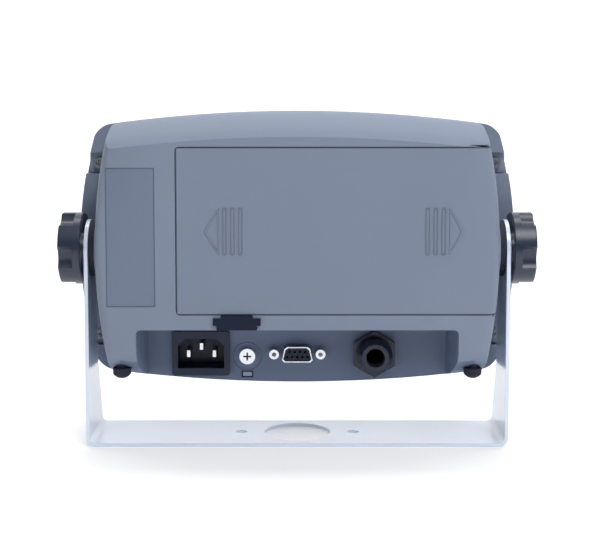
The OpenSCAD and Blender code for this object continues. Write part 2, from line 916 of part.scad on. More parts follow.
// Rubber discs that hold the tilt by friction
module friction_discs() {
    color([0.08, 0.09, 0.11]) at_pivot() both_sides() difference() {
        rod_x(disc_d, disc_in, disc_out);
        rod_x(stud_hole_d, disc_in - over, disc_out + over);
    }
}

module washer() {
    color([0.8, 0.82, 0.85]) difference() {
        rod_x(washer_d, washer_in, washer_in + washer_t);
        rod_x(stud_hole_d, washer_in - over, knob_in);
    }
}

// A clamping knob with finger recesses that are open to its end
module knob() {
    color([0.1, 0.11, 0.14]) difference() {
        rotate([0, 90, 0]) rotate_extrude() polygon([[0, knob_in],
            [knob_d / 2 - knob_edge, knob_in], [knob_d / 2, knob_in + knob_edge],
            [knob_d / 2, knob_out - knob_edge], [knob_d / 2 - knob_edge, knob_out],
            [0, knob_out]]);
        for (n = [1 : grips])
            rotate([n * 360 / grips + 180 + grip_turn, 0, 0])
                translate([0, knob_d / 2 - grip_depth + grip_r, 0])
                    rod_x(2 * grip_r, knob_mid, knob_out + over);
        rod_x(dish_d, knob_out - dish_depth, knob_out + over);
        rod_x(stud_d + 2 * run_fit, knob_in - over, stud_head_x);
        rod_x(stud_head_d + 2 * run_fit, stud_head_x - run_fit,
            stud_head_x + stud_head_w + run_fit);
    }
}

// The threaded stud, whose head is moulded into its knob
module stud() {
    color([0.8, 0.82, 0.85]) {
        rod_x(stud_d, insert_in + stud_rest, stud_head_x + stud_head_w);
        rod_x(stud_head_d, stud_head_x, stud_head_x + stud_head_w);
    }
}

module washer_left() {
    at_pivot() mirror([1, 0, 0]) washer();
}

module washer_right() {
    at_pivot() washer();
}

module knob_left() {
    at_pivot() mirror([1, 0, 0]) knob();
}

module knob_right() {
    at_pivot() knob();
}

module stud_left() {
    at_pivot() mirror([1, 0, 0]) stud();
}

module stud_right() {
    at_pivot() stud();
}

// One raised outline mark: an arrowhead and three upright bars, pointing to the right
module cover_mark() {
    along_y(rear_y - mark_t, rear_y) {
        difference() {
            polygon([[0, 0], [-arrow_w, mark_h / 2], [-arrow_w, -mark_h / 2]]);
            polygon([[-2 * mark_line, 0], [mark_line - arrow_w, mark_h / 2 - 3 * mark_line],
                [mark_line - arrow_w, 3 * mark_line - mark_h / 2]]);
        }
        for (n = [0 : pills - 1]) translate([-pill_start - pill_w / 2 - n * pill_step, 0])
            difference() {
                round_rect(pill_w, mark_h, pill_w / 3);
                round_rect(pill_w - mark_line, mark_h - mark_line, (pill_w - mark_line) / 3);
            }
    }
}

// The battery cover, which slides off to the right
module battery_cover() {
    color([0.47, 0.53, 0.6]) at_pivot() {
        intersection() {
            difference() {
                rear_solid(0, rear_end);
                rear_solid(cover_t, rear_end + over);
            }
            cover_field(0);
        }
        cover_rails(0, tongue_end);
        translate([arrow_tips[0], 0, mark_z]) mirror([1, 0, 0]) cover_mark();
        translate([arrow_tips[1], 0, mark_z]) cover_mark();
    }
}

// The black latch that holds the cover, pressed down to free it
module battery_latch() {
    y0 = rear_y - seat_gap - latch_proud;
    y1 = rear_y - seat_gap;
    top = latch_z - latch_top_h;
    stem_low = top - latch_stem_h;
    color([0.1, 0.11, 0.14]) at_pivot() translate([latch_x, 0, 0]) {
        box(-latch_top_w / 2, latch_top_w / 2, y0, y1, top, latch_z);
        box(-latch_w / 2, latch_w / 2, y0, y1, top - latch_h, top);
        box(-latch_low_w / 2, latch_low_w / 2, y0, y1,
            top - latch_h - latch_low_h, top - latch_h);
        box(-latch_stem_w / 2, latch_stem_w / 2, y1 - latch_proud / 2,
            rear_y + wall + seat_gap, stem_low, top);
        box(-latch_hook_w / 2, latch_hook_w / 2, rear_y + wall + seat_gap,
            rear_y + wall + seat_gap + latch_hook_t, stem_low, top);
    }
}

// The tray that holds the cells, open towards the cover
module battery_tray() {
    y1 = tray_y + tray_depth;
    color([0.42, 0.46, 0.52]) at_pivot() {
        difference() {
            box(tray_left, tray_right, tray_y, y1, tray_low, tray_high);
            box(tray_left + tray_wall, tray_right - tray_wall, tray_y - over, y1 - tray_wall,
                tray_low + tray_wall, tray_high - tray_wall);
            // The rounded corners of the housing come down behind the cover here
            box(tray_left - over, tray_right + over, tray_y - over, tray_step,
                tray_high - tray_wall - over, tray_high + over);
            box(tray_right - tray_wall - over, tray_right + over, tray_y - over, tray_step,
                row_zs[1] - cell_d / 2, tray_high + over);
        }
        for (s = rib_shares)
            box(tray_left + s * (tray_right - tray_left) - rib_t / 2,
                tray_left + s * (tray_right - tray_left) + rib_t / 2,
                cell_y, y1 - tray_wall / 2, row_zs[0] + cell_d / 2 + gap,
                row_zs[1] - cell_d / 2 - gap);
    }
}

// One row of cells from x towards +X, with the buttons at its right
module cell_row(x) {
    can = cell_l - button_l;
    for (n = [0 : cells_per_row - 1]) {
        start = x + n * (cell_l + cell_gap);
        rod_x(cell_d, start, start + can);
        rod_x(button_d, start + can - over, start + cell_l);
    }
}

row_l = cells_per_row * (cell_l + cell_gap) - cell_gap;
row_start = tray_left + tray_wall + contact_t + spring_l + 2 * cell_gap;
row_end = tray_right - tray_wall - contact_t - spring_l - 2 * cell_gap;

// Six cells in two rows that face opposite ways
module battery_cells() {
    color([0.72, 0.74, 0.76]) at_pivot() translate([0, cell_y, 0]) {
        translate([0, 0, row_zs[0]]) cell_row(row_start);
        translate([row_end, 0, row_zs[1]]) mirror([1, 0, 0]) cell_row(0);
    }
}

// The conical springs behind the flat end of each row
module battery_springs() {
    color([0.8, 0.82, 0.85]) at_pivot() translate([0, cell_y, 0]) {
        translate([row_start - cell_gap - spring_l, 0, row_zs[0]]) rotate([0, 90, 0])
            cylinder(d1 = spring_d, d2 = spring_top_d, h = spring_l);
        translate([row_end + cell_gap + spring_l, 0, row_zs[1]]) rotate([0, -90, 0])
            cylinder(d1 = spring_d, d2 = spring_top_d, h = spring_l);
    }
}

// The plated contacts at the ends of the rows
module battery_contacts() {
    left = tray_left + tray_wall;
    right = tray_right - tray_wall - contact_t;
    half = contact_w / 2;
    color([0.75, 0.76, 0.78]) at_pivot() {
        for (z = row_zs)
            box(left, left + contact_t, cell_y - half, cell_y + half, z - half, z + half);
        box(right, right + contact_t, cell_y - half, cell_y + half,
            row_zs[0] - half, row_zs[1] + half);
    }
}

// Outline of the inlet's socket, with its two upper corners cut off
module socket_outline() {
    w = socket_w / 2;
    h = socket_h / 2;
    polygon([[-w, -h], [w, -h], [w, h - socket_corner], [w - socket_corner, h],
        [socket_corner - w, h], [-w, h - socket_corner]]);
}

// The moulded body of the mains inlet
module inlet_body() {
    color([0.08, 0.09, 0.11]) at_pivot() translate([inlet_x, 0, row_z]) difference() {
        union() {
            along_y(panel_y - seat_gap - inlet_t, panel_y - seat_gap)
                round_rect(inlet_w, inlet_h, inlet_r);
            along_y(panel_y - seat_gap - inlet_t / 2, panel_y + inlet_back)
                square([inlet_body_w, inlet_body_h], center = true);
        }
        along_y(panel_y - inlet_t - over, panel_y + socket_back) socket_outline();
        for (b = blade_places) translate([b[0], 0, b[1]])
            along_y(panel_y, panel_y + inlet_back + over)
            square([blade_t + 2 * seat_gap, blade_w + 2 * seat_gap], center = true);
    }
}

blade_places = [[0, earth_lift], [-blade_gap / 2, -blade_drop], [blade_gap / 2, -blade_drop]];

// The three blades of the inlet, with their solder tails
module inlet_blades() {
    color([0.85, 0.85, 0.83]) at_pivot() translate([inlet_x, 0, row_z])
        for (b = blade_places) translate([b[0], 0, b[1]])
            along_y(panel_y + socket_back - blade_out, panel_y + inlet_back + blade_tail)
            square([blade_t, blade_w], center = true);
}

// The plated shell of the serial connector, with its flange behind the panel
module serial_shell() {
    y0 = panel_in + seat_gap;
    color([0.82, 0.84, 0.87]) at_pivot() translate([0, 0, row_z]) {
        difference() {
            union() {
                along_y(panel_y - serial_out, y0 + serial_flange_t) d_outline(0);
                along_y(y0, y0 + serial_flange_t)
                    square([serial_flange_w, serial_flange_h], center = true);
            }
            along_y(panel_y - serial_out - over, y0 + serial_flange_t + over)
                d_outline(-serial_shell_t);
            for (x = [-1, 1]) translate([x * jack_gap / 2, 0, 0])
                rod_y(jack_shank_d + 2 * seat_gap, y0 - over, y0 + serial_flange_t + over);
        }
    }
}

// The insulator of the serial connector, with its nine contacts' holes
module serial_insulator() {
    front = panel_y - serial_out + serial_shell_t;
    color([0.1, 0.11, 0.14]) at_pivot() translate([0, 0, row_z]) difference() {
        along_y(front, panel_in + serial_back) d_outline(-serial_shell_t - seat_gap);
        for (r = [0, 1], n = [0 : serial_row_pins[r] - 1])
            translate([(n - (serial_row_pins[r] - 1) / 2) * serial_pin_gap, 0,
                (r - 0.5) * serial_row_gap])
                rod_y(serial_pin_d, front - over, front + serial_pin_depth);
    }
}

// The two jack screws beside the serial connector
module serial_jackscrews() {
    color([0.82, 0.84, 0.87]) at_pivot() for (x = [-1, 1])
        translate([x * jack_gap / 2, 0, row_z]) difference() {
            union() {
                rod_y(jack_d, panel_y - seat_gap - jack_head_h, panel_y - seat_gap);
                rod_y(jack_shank_d, panel_y - 2 * seat_gap, panel_y + jack_shank_l);
            }
            rod_y(jack_bore_d, panel_y - jack_head_h - over, panel_y - jack_head_h + jack_bore_l);
        }
}

gland_face = panel_y - seat_gap - gland_hex_h;

// The gland's body, screwed through the panel
module gland_body() {
    color([0.09, 0.1, 0.13]) at_pivot() translate([gland_x, 0, row_z]) difference() {
        union() {
            along_y(gland_face, panel_y - seat_gap) rotate(gland_turn) hexagon(gland_af);
            rod_y(gland_thread_d, panel_y - 2 * seat_gap, panel_y + gland_thread_l);
            rod_y(gland_stub_d, gland_face - gland_stub_h, gland_face + seat_gap);
        }
        rod_y(gland_bore_in_d, gland_face, panel_y + gland_thread_l + over);
        rod_y(gland_seal_d + 2 * seat_gap, gland_face - gland_stub_h - over, gland_face + over);
    }
}

// The gland's dome nut, with a hexagonal mouth
module gland_nut() {
    y0 = gland_face - seat_gap - gland_dome_h;
    color([0.1, 0.11, 0.14]) at_pivot() translate([gland_x, 0, row_z]) difference() {
        union() {
            rod_y(gland_dome_d, y0 + gland_cone, gland_face - seat_gap);
            translate([0, y0 + gland_cone + seat_gap, 0]) rotate([90, 0, 0])
                cylinder(d1 = gland_dome_d, d2 = gland_dome_d - 2 * gland_cone,
                    h = gland_cone + seat_gap);
        }
        rod_y(gland_bore_d, y0 - over, gland_face);
        rod_y(gland_stub_d + 2 * gap, gland_face - gland_stub_h - gap, gland_face);
    }
}

// The rubber ring that grips the cable
module gland_seal() {
    color([0.05, 0.05, 0.06]) at_pivot() translate([gland_x, 0, row_z]) difference() {
        rod_y(gland_seal_d, gland_face - gland_stub_h, gland_face + seat_gap);
        rod_y(gland_bore_d - 2 * gap, gland_face - gland_stub_h - over, gland_face + over);
    }
}

// The nut that holds the gland from inside
module gland_locknut() {
    color([0.1, 0.11, 0.14]) at_pivot() translate([gland_x, 0, row_z]) difference() {
        along_y(panel_in + seat_gap, panel_in + seat_gap + gland_nut_h) hexagon(gland_af);
        rod_y(gland_thread_d + 2 * seat_gap, panel_in, panel_in + gland_nut_h + over);
    }
}

// The large screw that seals the adjustment
module security_screw() {
    color([0.85, 0.87, 0.9]) at_pivot()
        translate([seal_screw_x, panel_y - seat_gap, seal_screw_z])
            screw(seal_screw_d, seal_head_h, seal_shank_d, seal_shank_l, seal_screw_d / 2);
}

// The pale insert in the small recess under the security screw
module seal_insert() {
    w = seal_insert_w / 2 - seal_insert_edge;
    h = seal_insert_h / 2 - seal_insert_edge / 2;
    color([0.6, 0.66, 0.73]) at_pivot()
        box(seal_screw_x - w, seal_screw_x + w, panel_y + seat_gap,
            panel_y + seal_insert_depth, seal_insert_z - h, seal_insert_z + h);
}

// The flat overlay on the front, with openings for the window and the keys
module front_overlay() {
    color([0.2, 0.23, 0.28]) at_pivot()
        along_y(front_d - overlay_t, front_d) difference() {
            translate([0, overlay_z]) round_rect(overlay_w, overlay_h, overlay_r);
            translate([0, window_z]) round_rect(window_w, window_h, window_r);
            for (n = [0 : 3]) translate([key_x(n), key_z])
                round_rect(key_w + 2 * gap, key_h + 2 * gap, key_r + gap);
        }
}

// The clear window, held behind the overlay
module display_window() {
    color([0.75, 0.82, 0.85, 0.5]) at_pivot() translate([0, 0, window_z])
        along_y(front_d - overlay_t - seat_gap - window_t, front_d - overlay_t - seat_gap)
        round_rect(window_w + 2 * window_rim, window_h + 2 * window_rim, window_r);
}

// The liquid crystal glass
module display_glass() {
    color([0.55, 0.6, 0.5]) at_pivot() translate([0, 0, window_z])
        along_y(glass_y, glass_y + glass_t)
        square([window_w + 2 * window_rim, window_h + 2 * window_rim], center = true);
}

// The frame that holds the glass and the backlight to the main board
module display_frame() {
    w = window_w + 2 * (window_rim + gap);
    h = window_h + 2 * (window_rim + gap);
    color([0.15, 0.16, 0.18]) at_pivot() translate([0, 0, window_z]) difference() {
        along_y(light_y, lip_y + lip_t)
            square([w + 2 * frame_t, h + 2 * frame_t], center = true);
        along_y(light_y - over, lip_y) square([w, h], center = true);
        along_y(light_y - over, lip_y + lip_t + over)
            square([window_w - 2 * frame_lip, window_h - 2 * frame_lip], center = true);
    }
}

// The backlight behind the glass
module backlight() {
    color([0.9, 0.92, 0.88]) at_pivot() translate([0, 0, window_z])
        along_y(light_y, light_y + light_t)
        square([window_w + 2 * window_rim, window_h + 2 * window_rim], center = true);
}

// The main circuit board
module main_board() {
    color([0.1, 0.4, 0.25]) at_pivot() translate([0, 0, overlay_z])
        along_y(board_y, board_front) difference() {
            square([board_w, board_h], center = true);
            for (x = [-1, 1], z = [-1, 1]) translate([x * post_x, z * post_z])
                circle(d = board_screw_d + 2 * gap);
        }
}

// Four screws that hold the main board to its posts
module board_screws() {
    color([0.8, 0.82, 0.85]) at_pivot() for (x = [-1, 1], z = [-1, 1])
        translate([x * post_x, board_y - seat_gap, overlay_z + z * post_z])
            screw(board_head_d, board_head_h, board_screw_d, board_screw_l, 0);
}

// The chips on the back of the main board
module processor_chips() {
    color([0.08, 0.08, 0.09]) at_pivot() for (x = chip_xs) translate([x, 0, chip_z])
        along_y(board_y - seat_gap - chip_t, board_y - seat_gap)
        square([chip_w, chip_h], center = true);
}

// The four switches under the keys
module key_switches() {
    y0 = board_front + seat_gap;
    color([0.15, 0.15, 0.17]) at_pivot() for (n = [0 : 3]) translate([key_x(n), 0, key_z]) {
        along_y(y0, y0 + switch_h) square([switch_w, switch_w], center = true);
        rod_y(switch_plunger_d, y0 + switch_h - over, y0 + switch_h + switch_plunger_h);
    }
}

// One key: its cap, its flange behind the wall, its stem and a raised mark
module key(n) {
    stem_end = board_front + seat_gap + switch_h + switch_plunger_h + key_travel + gap;
    color([0.75, 0.78, 0.82]) at_pivot() translate([key_x(n), 0, key_z]) {
        along_y(key_rest_y, front_d + key_proud) round_rect(key_w, key_h, key_r);
        along_y(key_rest_y, key_rest_y + key_flange_t)
            round_rect(key_w + 2 * key_lap, key_h + 2 * key_lap, key_r);
        rod_y(key_stem_d, stem_end, key_rest_y + seat_gap);
        along_y(front_d + key_proud - seat_gap, front_d + key_proud + key_mark_t) children();
    }
}

module key_power() {
    key(0) {
        difference() {
            circle(d = key_mark_d);
            circle(d = key_mark_d - 2 * key_mark_line);
            translate([0, key_mark_d / 2]) square(3 * key_mark_line, center = true);
        }
        translate([-key_mark_line / 2, key_mark_d / 4])
            square([key_mark_line, key_mark_d / 3]);
    }
}

module key_zero() {
    key(1) difference() {
        circle(d = key_mark_d);
        circle(d = key_mark_d - 2 * key_mark_line);
    }
}

module key_tare() {
    key(2) difference() {
        square(key_mark_d, center = true);
        square(key_mark_d - 2 * key_mark_line, center = true);
    }
}

module key_print() {
    key(3) for (z = [-1, 0, 1]) translate([0, z * 2.5 * key_mark_line])
        square([key_mark_d, key_mark_line], center = true);
}

// The power board on its posts behind the connector panel
module power_board() {
    color([0.1, 0.4, 0.25]) at_pivot() along_y(power_y, power_y + board_t) difference() {
        translate([power_x, power_z]) square([power_w, power_h], center = true);
        for (x = power_post_xs, z = [-1, 1]) translate([x, power_z + z * power_post_z])
            circle(d = board_screw_d + 2 * gap);
    }
}

// Four screws that hold the power board
module power_screws() {
    color([0.8, 0.82, 0.85]) at_pivot() for (x = power_post_xs, z = [-1, 1])
        translate([x, power_y + board_t + seat_gap, power_z + z * power_post_z])
            mirror([0, 1, 0]) screw(board_head_d, board_head_h, board_screw_d, board_screw_l, 0);
}

// The mains transformer on the power board
module transformer() {
    y1 = power_y - seat_gap;
    color([0.35, 0.36, 0.4]) at_pivot() translate([transformer_x, 0, power_z]) {
        along_y(y1 - core_t - (coil_t - core_t) / 2, y1 - (coil_t - core_t) / 2)
            square([core_w, core_h], center = true);
        along_y(y1 - coil_t, y1) square([coil_w, coil_h], center = true);
    }
}

module smoothing_capacitor() {
    color([0.1, 0.12, 0.3]) at_pivot() translate([cap_x, 0, power_z])
        rod_y(cap_d, power_y - seat_gap - cap_l, power_y - seat_gap);
}

module buzzer() {
    color([0.08, 0.08, 0.09]) at_pivot() translate([buzzer_x, 0, buzzer_z])
        rod_y(buzzer_d, board_y - seat_gap - buzzer_h, board_y - seat_gap);
}

// The ribbon cable between the power board and the main board, with its two plugs
module ribbon_cable() {
    y0 = power_y + board_t + seat_gap;
    y1 = board_y - seat_gap;
    mid = (y0 + y1) / 2;
    half = ribbon_w / 2;
    color([0.6, 0.62, 0.65]) at_pivot() translate([ribbon_x, 0, 0]) {
        box(-half - over, half + over, y0, mid + ribbon_t, ribbon_low - plug_h, ribbon_low);
        box(-half, half, mid - ribbon_t / 2, mid + ribbon_t / 2,
            ribbon_low - ribbon_t, ribbon_top + ribbon_t);
        box(-half - over, half + over, mid - ribbon_t, y1, ribbon_top, ribbon_top + plug_h);
    }
}

bracket();
rear_housing();
front_housing();
housing_seal();
housing_screws();
rubber_feet();
pivot_inserts();
friction_discs();
washer_left();
washer_right();
knob_left();
knob_right();
stud_left();
stud_right();
battery_cover();
battery_latch();
battery_tray();
battery_cells();
battery_springs();
battery_contacts();
inlet_body();
inlet_blades();
serial_shell();
serial_insulator();
serial_jackscrews();
gland_body();
gland_nut();
gland_seal();
gland_locknut();
security_screw();
seal_insert();
front_overlay();
display_window();
display_glass();
display_frame();
backlight();
main_board();
board_screws();
processor_chips();
key_switches();
key_power();
key_zero();
key_tare();
key_print();
power_board();
power_screws();
transformer();
smoothing_capacitor();
buzzer();
ribbon_cable();
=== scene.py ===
import math

import bmesh
import bpy
from mathutils import Matrix, Vector


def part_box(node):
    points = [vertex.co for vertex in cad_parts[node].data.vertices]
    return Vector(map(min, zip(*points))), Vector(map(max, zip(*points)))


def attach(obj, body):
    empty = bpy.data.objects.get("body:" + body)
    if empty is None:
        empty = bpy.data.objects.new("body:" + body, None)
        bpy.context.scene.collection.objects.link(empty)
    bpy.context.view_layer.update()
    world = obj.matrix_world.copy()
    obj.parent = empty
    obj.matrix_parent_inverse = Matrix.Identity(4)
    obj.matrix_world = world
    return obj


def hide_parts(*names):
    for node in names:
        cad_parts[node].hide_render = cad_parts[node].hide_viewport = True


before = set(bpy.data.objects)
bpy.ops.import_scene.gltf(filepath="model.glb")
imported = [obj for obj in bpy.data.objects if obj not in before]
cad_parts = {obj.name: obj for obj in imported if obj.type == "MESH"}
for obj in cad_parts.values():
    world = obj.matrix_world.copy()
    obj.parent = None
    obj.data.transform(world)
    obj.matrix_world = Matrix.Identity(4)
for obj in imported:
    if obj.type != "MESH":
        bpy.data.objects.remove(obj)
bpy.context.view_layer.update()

scene = bpy.context.scene
scene.view_settings.view_transform = "Standard"

# ---- Camera ----
# The photograph was taken from behind the indicator, a little above it, with a
# short telephoto lens whose film back was shifted down.
camera = bpy.data.cameras.new("camera")
camera.sensor_width = 36.0
camera.lens = 80.2
camera.shift_x = -0.0039
camera.shift_y = -0.138
camera.clip_start = 0.02
camera_spot = bpy.data.objects.new("camera", camera)
camera_spot.location = (0.0, -0.7105, 0.1936)
camera_spot.rotation_euler = (math.radians(85.0), 0.0, 0.0)
scene.collection.objects.link(camera_spot)
scene.camera = camera_spot


# ---- Floor and lights ----
# A white studio sweep: a sheet of pale board that curves up behind the object. The
# main soft box hangs above the camera, with weaker ones overhead, at the right and
# over the back of the sweep.
class Value:
    """An output socket that takes part in arithmetic, by adding Math nodes to its finish."""

    def __init__(self, finish, socket):
        self.finish = finish
        self.socket = socket

    def maths(self, operation, first, second):
        return self.finish.node(
            "ShaderNodeMath", {"operation": operation}, {0: first, 1: second}
        )

    def __add__(self, other):
        return self.maths("ADD", self, other)

    def __radd__(self, other):
        return self.maths("ADD", other, self)

    def __sub__(self, other):
        return self.maths("SUBTRACT", self, other)

    def __rsub__(self, other):
        return self.maths("SUBTRACT", other, self)

    def __mul__(self, other):
        return self.maths("MULTIPLY", self, other)

    def __rmul__(self, other):
        return self.maths("MULTIPLY", other, self)

    def __pow__(self, other):
        return self.maths("POWER", self, other)


class Finish:
    """A material whose nodes are added one by one; constants go on the shader's own sockets."""

    def __init__(self, name, **constants):
        self.material = bpy.data.materials.new(name)
        self.material.use_nodes = True
        self.tree = self.material.node_tree
        self.tree.nodes.clear()
        self.output = self.tree.nodes.new("ShaderNodeOutputMaterial")
        self.shader = self.tree.nodes.new("ShaderNodeBsdfPrincipled")
        self.tree.links.new(self.shader.outputs[0], self.output.inputs[0])
        for socket, value in constants.items():
            self.shader.inputs[socket.replace("_", " ")].default_value = value

    def node(self, kind, settings=None, inputs=None, output=0):
        made = self.tree.nodes.new(kind)
        for key, value in (settings or {}).items():
            if key == "stops":
                ramp = made.color_ramp
                ramp.elements[0].position, ramp.elements[0].color = value[0]
                ramp.elements[1].position, ramp.elements[1].color = value[-1]
                for place, colour in value[1:-1]:
                    ramp.elements.new(place).color = colour
            else:
                setattr(made, key, value)
        for key, value in (inputs or {}).items():
            if isinstance(value, Value):
                self.tree.links.new(value.socket, made.inputs[key])
            else:
                made.inputs[key].default_value = value
        return Value(self, made.outputs[output])

    def place(self, stretch=(1.0, 1.0, 1.0), shift=(0.0, 0.0, 0.0)):
        spot = self.node("ShaderNodeTexCoord", output="Object")
        return self.node(
            "ShaderNodeMapping", {}, {"Vector": spot, "Scale": stretch, "Location": shift}
        )

    def along(self, axis):
        """The place along one axis: 0 for X, 1 for Y and 2 for Z."""
        return self.node("ShaderNodeSeparateXYZ", {}, {"Vector": self.place()}, output=axis)

    def noise(self, scale, detail=2.0, stretch=(1.0, 1.0, 1.0), rough=0.5):
        return self.node(
            "ShaderNodeTexNoise",
            {},
            {
                "Vector": self.place(stretch), "Scale": scale,
                "Detail": detail, "Roughness": rough,
            },
        )

    def blend(self, share, one, other):
        return self.node(
            "ShaderNodeMix",
            {"data_type": "RGBA"},
            {"Factor": share, 6: one, 7: other},
            output=2,
        )

    def clamp(self, value, low, high):
        return self.node(
            "ShaderNodeMapRange",
            {"clamp": True},
            {"Value": value, "From Min": low, "From Max": high},
        )

    def rounded(self, radius):
        return self.node("ShaderNodeBevel", {"samples": 6}, {"Radius": radius})

    def edge(self, radius, low=0.02, high=0.25):
        """Where a rounded normal leaves the flat one, near a hard edge: the share for worn
        edges, painted edge highlights and painted shade lines.
        """
        flat = self.node("ShaderNodeNewGeometry", output="True Normal")
        along = self.node(
            "ShaderNodeVectorMath",
            {"operation": "DOT_PRODUCT"},
            {0: self.rounded(radius), 1: flat},
            output="Value",
        )
        return self.clamp(1.0 - along, low, high)

    def bump(self, height, distance, strength=1.0, normal=None):
        inputs = {"Height": height, "Distance": distance, "Strength": strength}
        if normal is not None:
            inputs["Normal"] = normal
        return self.node("ShaderNodeBump", {}, inputs)

    def feed(self, **values):
        for socket, value in values.items():
            self.tree.links.new(value.socket, self.shader.inputs[socket.replace("_", " ")])
        return self.material


def shade(colour, factor):
    return tuple(min(1.0, part * factor) for part in colour[:3]) + (1.0,)


def add_piece(name, shape, material, smooth_below=None):
    """Turns a bmesh into an object at the origin; edges sharper than an angle stay hard."""
    bmesh.ops.recalc_face_normals(shape, faces=shape.faces)
    if smooth_below is not None:
        set_smooth(shape, smooth_below)
    mesh = bpy.data.meshes.new(name)
    shape.to_mesh(mesh)
    shape.free()
    mesh.materials.append(material)
    piece = bpy.data.objects.new(name, mesh)
    scene.collection.objects.link(piece)
    return piece


def set_smooth(shape, degrees):
    limit = math.radians(degrees)
    for face in shape.faces:
        face.smooth = True
    for edge in shape.edges:
        edge.smooth = len(edge.link_faces) == 2 and edge.calc_face_angle(0.0) < limit


board = Finish(
    "sweep_board", Roughness=0.9, Emission_Color=(1.0, 1.0, 1.0, 1.0), Emission_Strength=0.20
)
board_grain = board.noise(9.0, 3.0)
board_paint = board.feed(
    Base_Color=board.blend(board_grain, (0.92, 0.92, 0.92, 1.0), (0.94, 0.94, 0.94, 1.0)),
    Normal=board.bump(board.noise(900.0), 0.00005, 0.3),
)
sweep = bmesh.new()
strip = [sweep.verts.new((-6.0, -6.0, 0.0)), sweep.verts.new((-6.0, 1.2, 0.0))]
sweep.edges.new(strip)
bend = bmesh.ops.spin(
    sweep, geom=[strip[1]], cent=(-6.0, 1.2, 0.8), axis=(1.0, 0.0, 0.0),
    angle=math.radians(90.0), steps=16, use_merge=False, use_duplicate=False,
)
top = [v for v in bend["geom_last"] if isinstance(v, bmesh.types.BMVert)][0]
wall_top = sweep.verts.new((-6.0, 2.0, 4.0))
sweep.edges.new((top, wall_top))
wide = bmesh.ops.extrude_edge_only(sweep, edges=sweep.edges[:])
far_side = [v for v in wide["geom"] if isinstance(v, bmesh.types.BMVert)]
bmesh.ops.translate(sweep, vec=(12.0, 0.0, 0.0), verts=far_side)
floor = add_piece("studio_sweep", sweep, board_paint, 60.0)

world = bpy.data.worlds.new("studio")
world.use_nodes = True
world.node_tree.nodes["Background"].inputs[0].default_value = (1.0, 1.0, 1.0, 1.0)
world.node_tree.nodes["Background"].inputs[1].default_value = 0.06
scene.world = world


def soft_box(name, spot, aim, width, depth, power):
    lamp = bpy.data.lights.new(name, "AREA")
    lamp.shape = "RECTANGLE"
    lamp.size = width
    lamp.size_y = depth
    lamp.energy = power
    holder = bpy.data.objects.new(name, lamp)
    holder.location = spot
    holder.rotation_euler = (Vector(aim) - Vector(spot)).to_track_quat("-Z", "Y").to_euler()
    scene.collection.objects.link(holder)


soft_box("overhead_box", (0.05, 0.0, 1.5), (0.0, 0.0, 0.1), 1.8, 0.9, 4.0)
soft_box("key_box", (0.38, -0.98, 1.33), (0.05, 0.0, 0.05), 1.0, 0.7, 15.2)
soft_box("right_box", (1.4, -0.35, 0.6), (0.0, 0.0, 0.1), 0.8, 0.8, 2.0)
soft_box("backdrop_box", (0.0, 0.7, 2.4), (0.0, 1.6, 0.4), 4.0, 0.8, 52.0)


# ---- Bracket ----
# One strip of 2 mm steel, cut with its holes and bent twice, then powder coated
# white with a faint blue cast. The coat rounds every cut edge a little.
def carried_over(node, width, segments=2, sharp=28.0, tidy=0.6):
    """A copy of a CAD node with its doubles merged, and its hard edges rounded by a bevel."""
    shape = bmesh.new()
    shape.from_mesh(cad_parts[node].data)
    bmesh.ops.remove_doubles(shape, verts=shape.verts, dist=1e-6)
    if tidy:
        bmesh.ops.dissolve_limit(
            shape, angle_limit=math.radians(tidy), verts=shape.verts, edges=shape.edges,
            use_dissolve_boundaries=False, delimit=set(),
        )
    if width:
        limit = math.radians(sharp)
        hard = [
            e for e in shape.edges if len(e.link_faces) == 2 and e.calc_face_angle(0.0) > limit
        ]
        bmesh.ops.bevel(
            shape, geom=hard, offset=width, offset_type="OFFSET", segments=segments,
            profile=0.5, affect="EDGES", clamp_overlap=True, material=-1, loop_slide=True,
        )
    return shape


def dress(node, body, material, width, segments=2, sharp=28.0, smooth=35.0, tidy=0.6):
    shape = carried_over(node, width, segments, sharp, tidy)
    set_smooth(shape, smooth)
    mesh = bpy.data.meshes.new(node + "_finish")
    shape.to_mesh(mesh)
    shape.free()
    mesh.materials.append(material)
    piece = bpy.data.objects.new(node + "_finish", mesh)
    scene.collection.objects.link(piece)
    if width:
        flat = piece.modifiers.new("flat_faces", "WEIGHTED_NORMAL")
        flat.keep_sharp = True
        flat.weight = 100
    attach(piece, body)
    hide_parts(node)
    return piece


def coat(node, material):
    """Gives a CAD node, whose shape is right as it is, its material."""
    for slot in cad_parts[node].material_slots:
        slot.material = material


powder_white = (0.74, 0.82, 0.98, 1.0)
powder = Finish("powder_coat", Coat_Weight=1.0, Coat_Roughness=0.16)
peel = powder.noise(1400.0, 2.0)
cloud = powder.noise(18.0, 3.0)
powder_coat = powder.feed(
    Base_Color=powder.blend(cloud, shade(powder_white, 0.97), shade(powder_white, 1.03)),
    Roughness=0.34 + 0.10 * cloud,
    Normal=powder.bump(peel, 0.00004, 0.5),
)
dress("bracket", "bracket_body", powder_coat, 0.0003, 3)


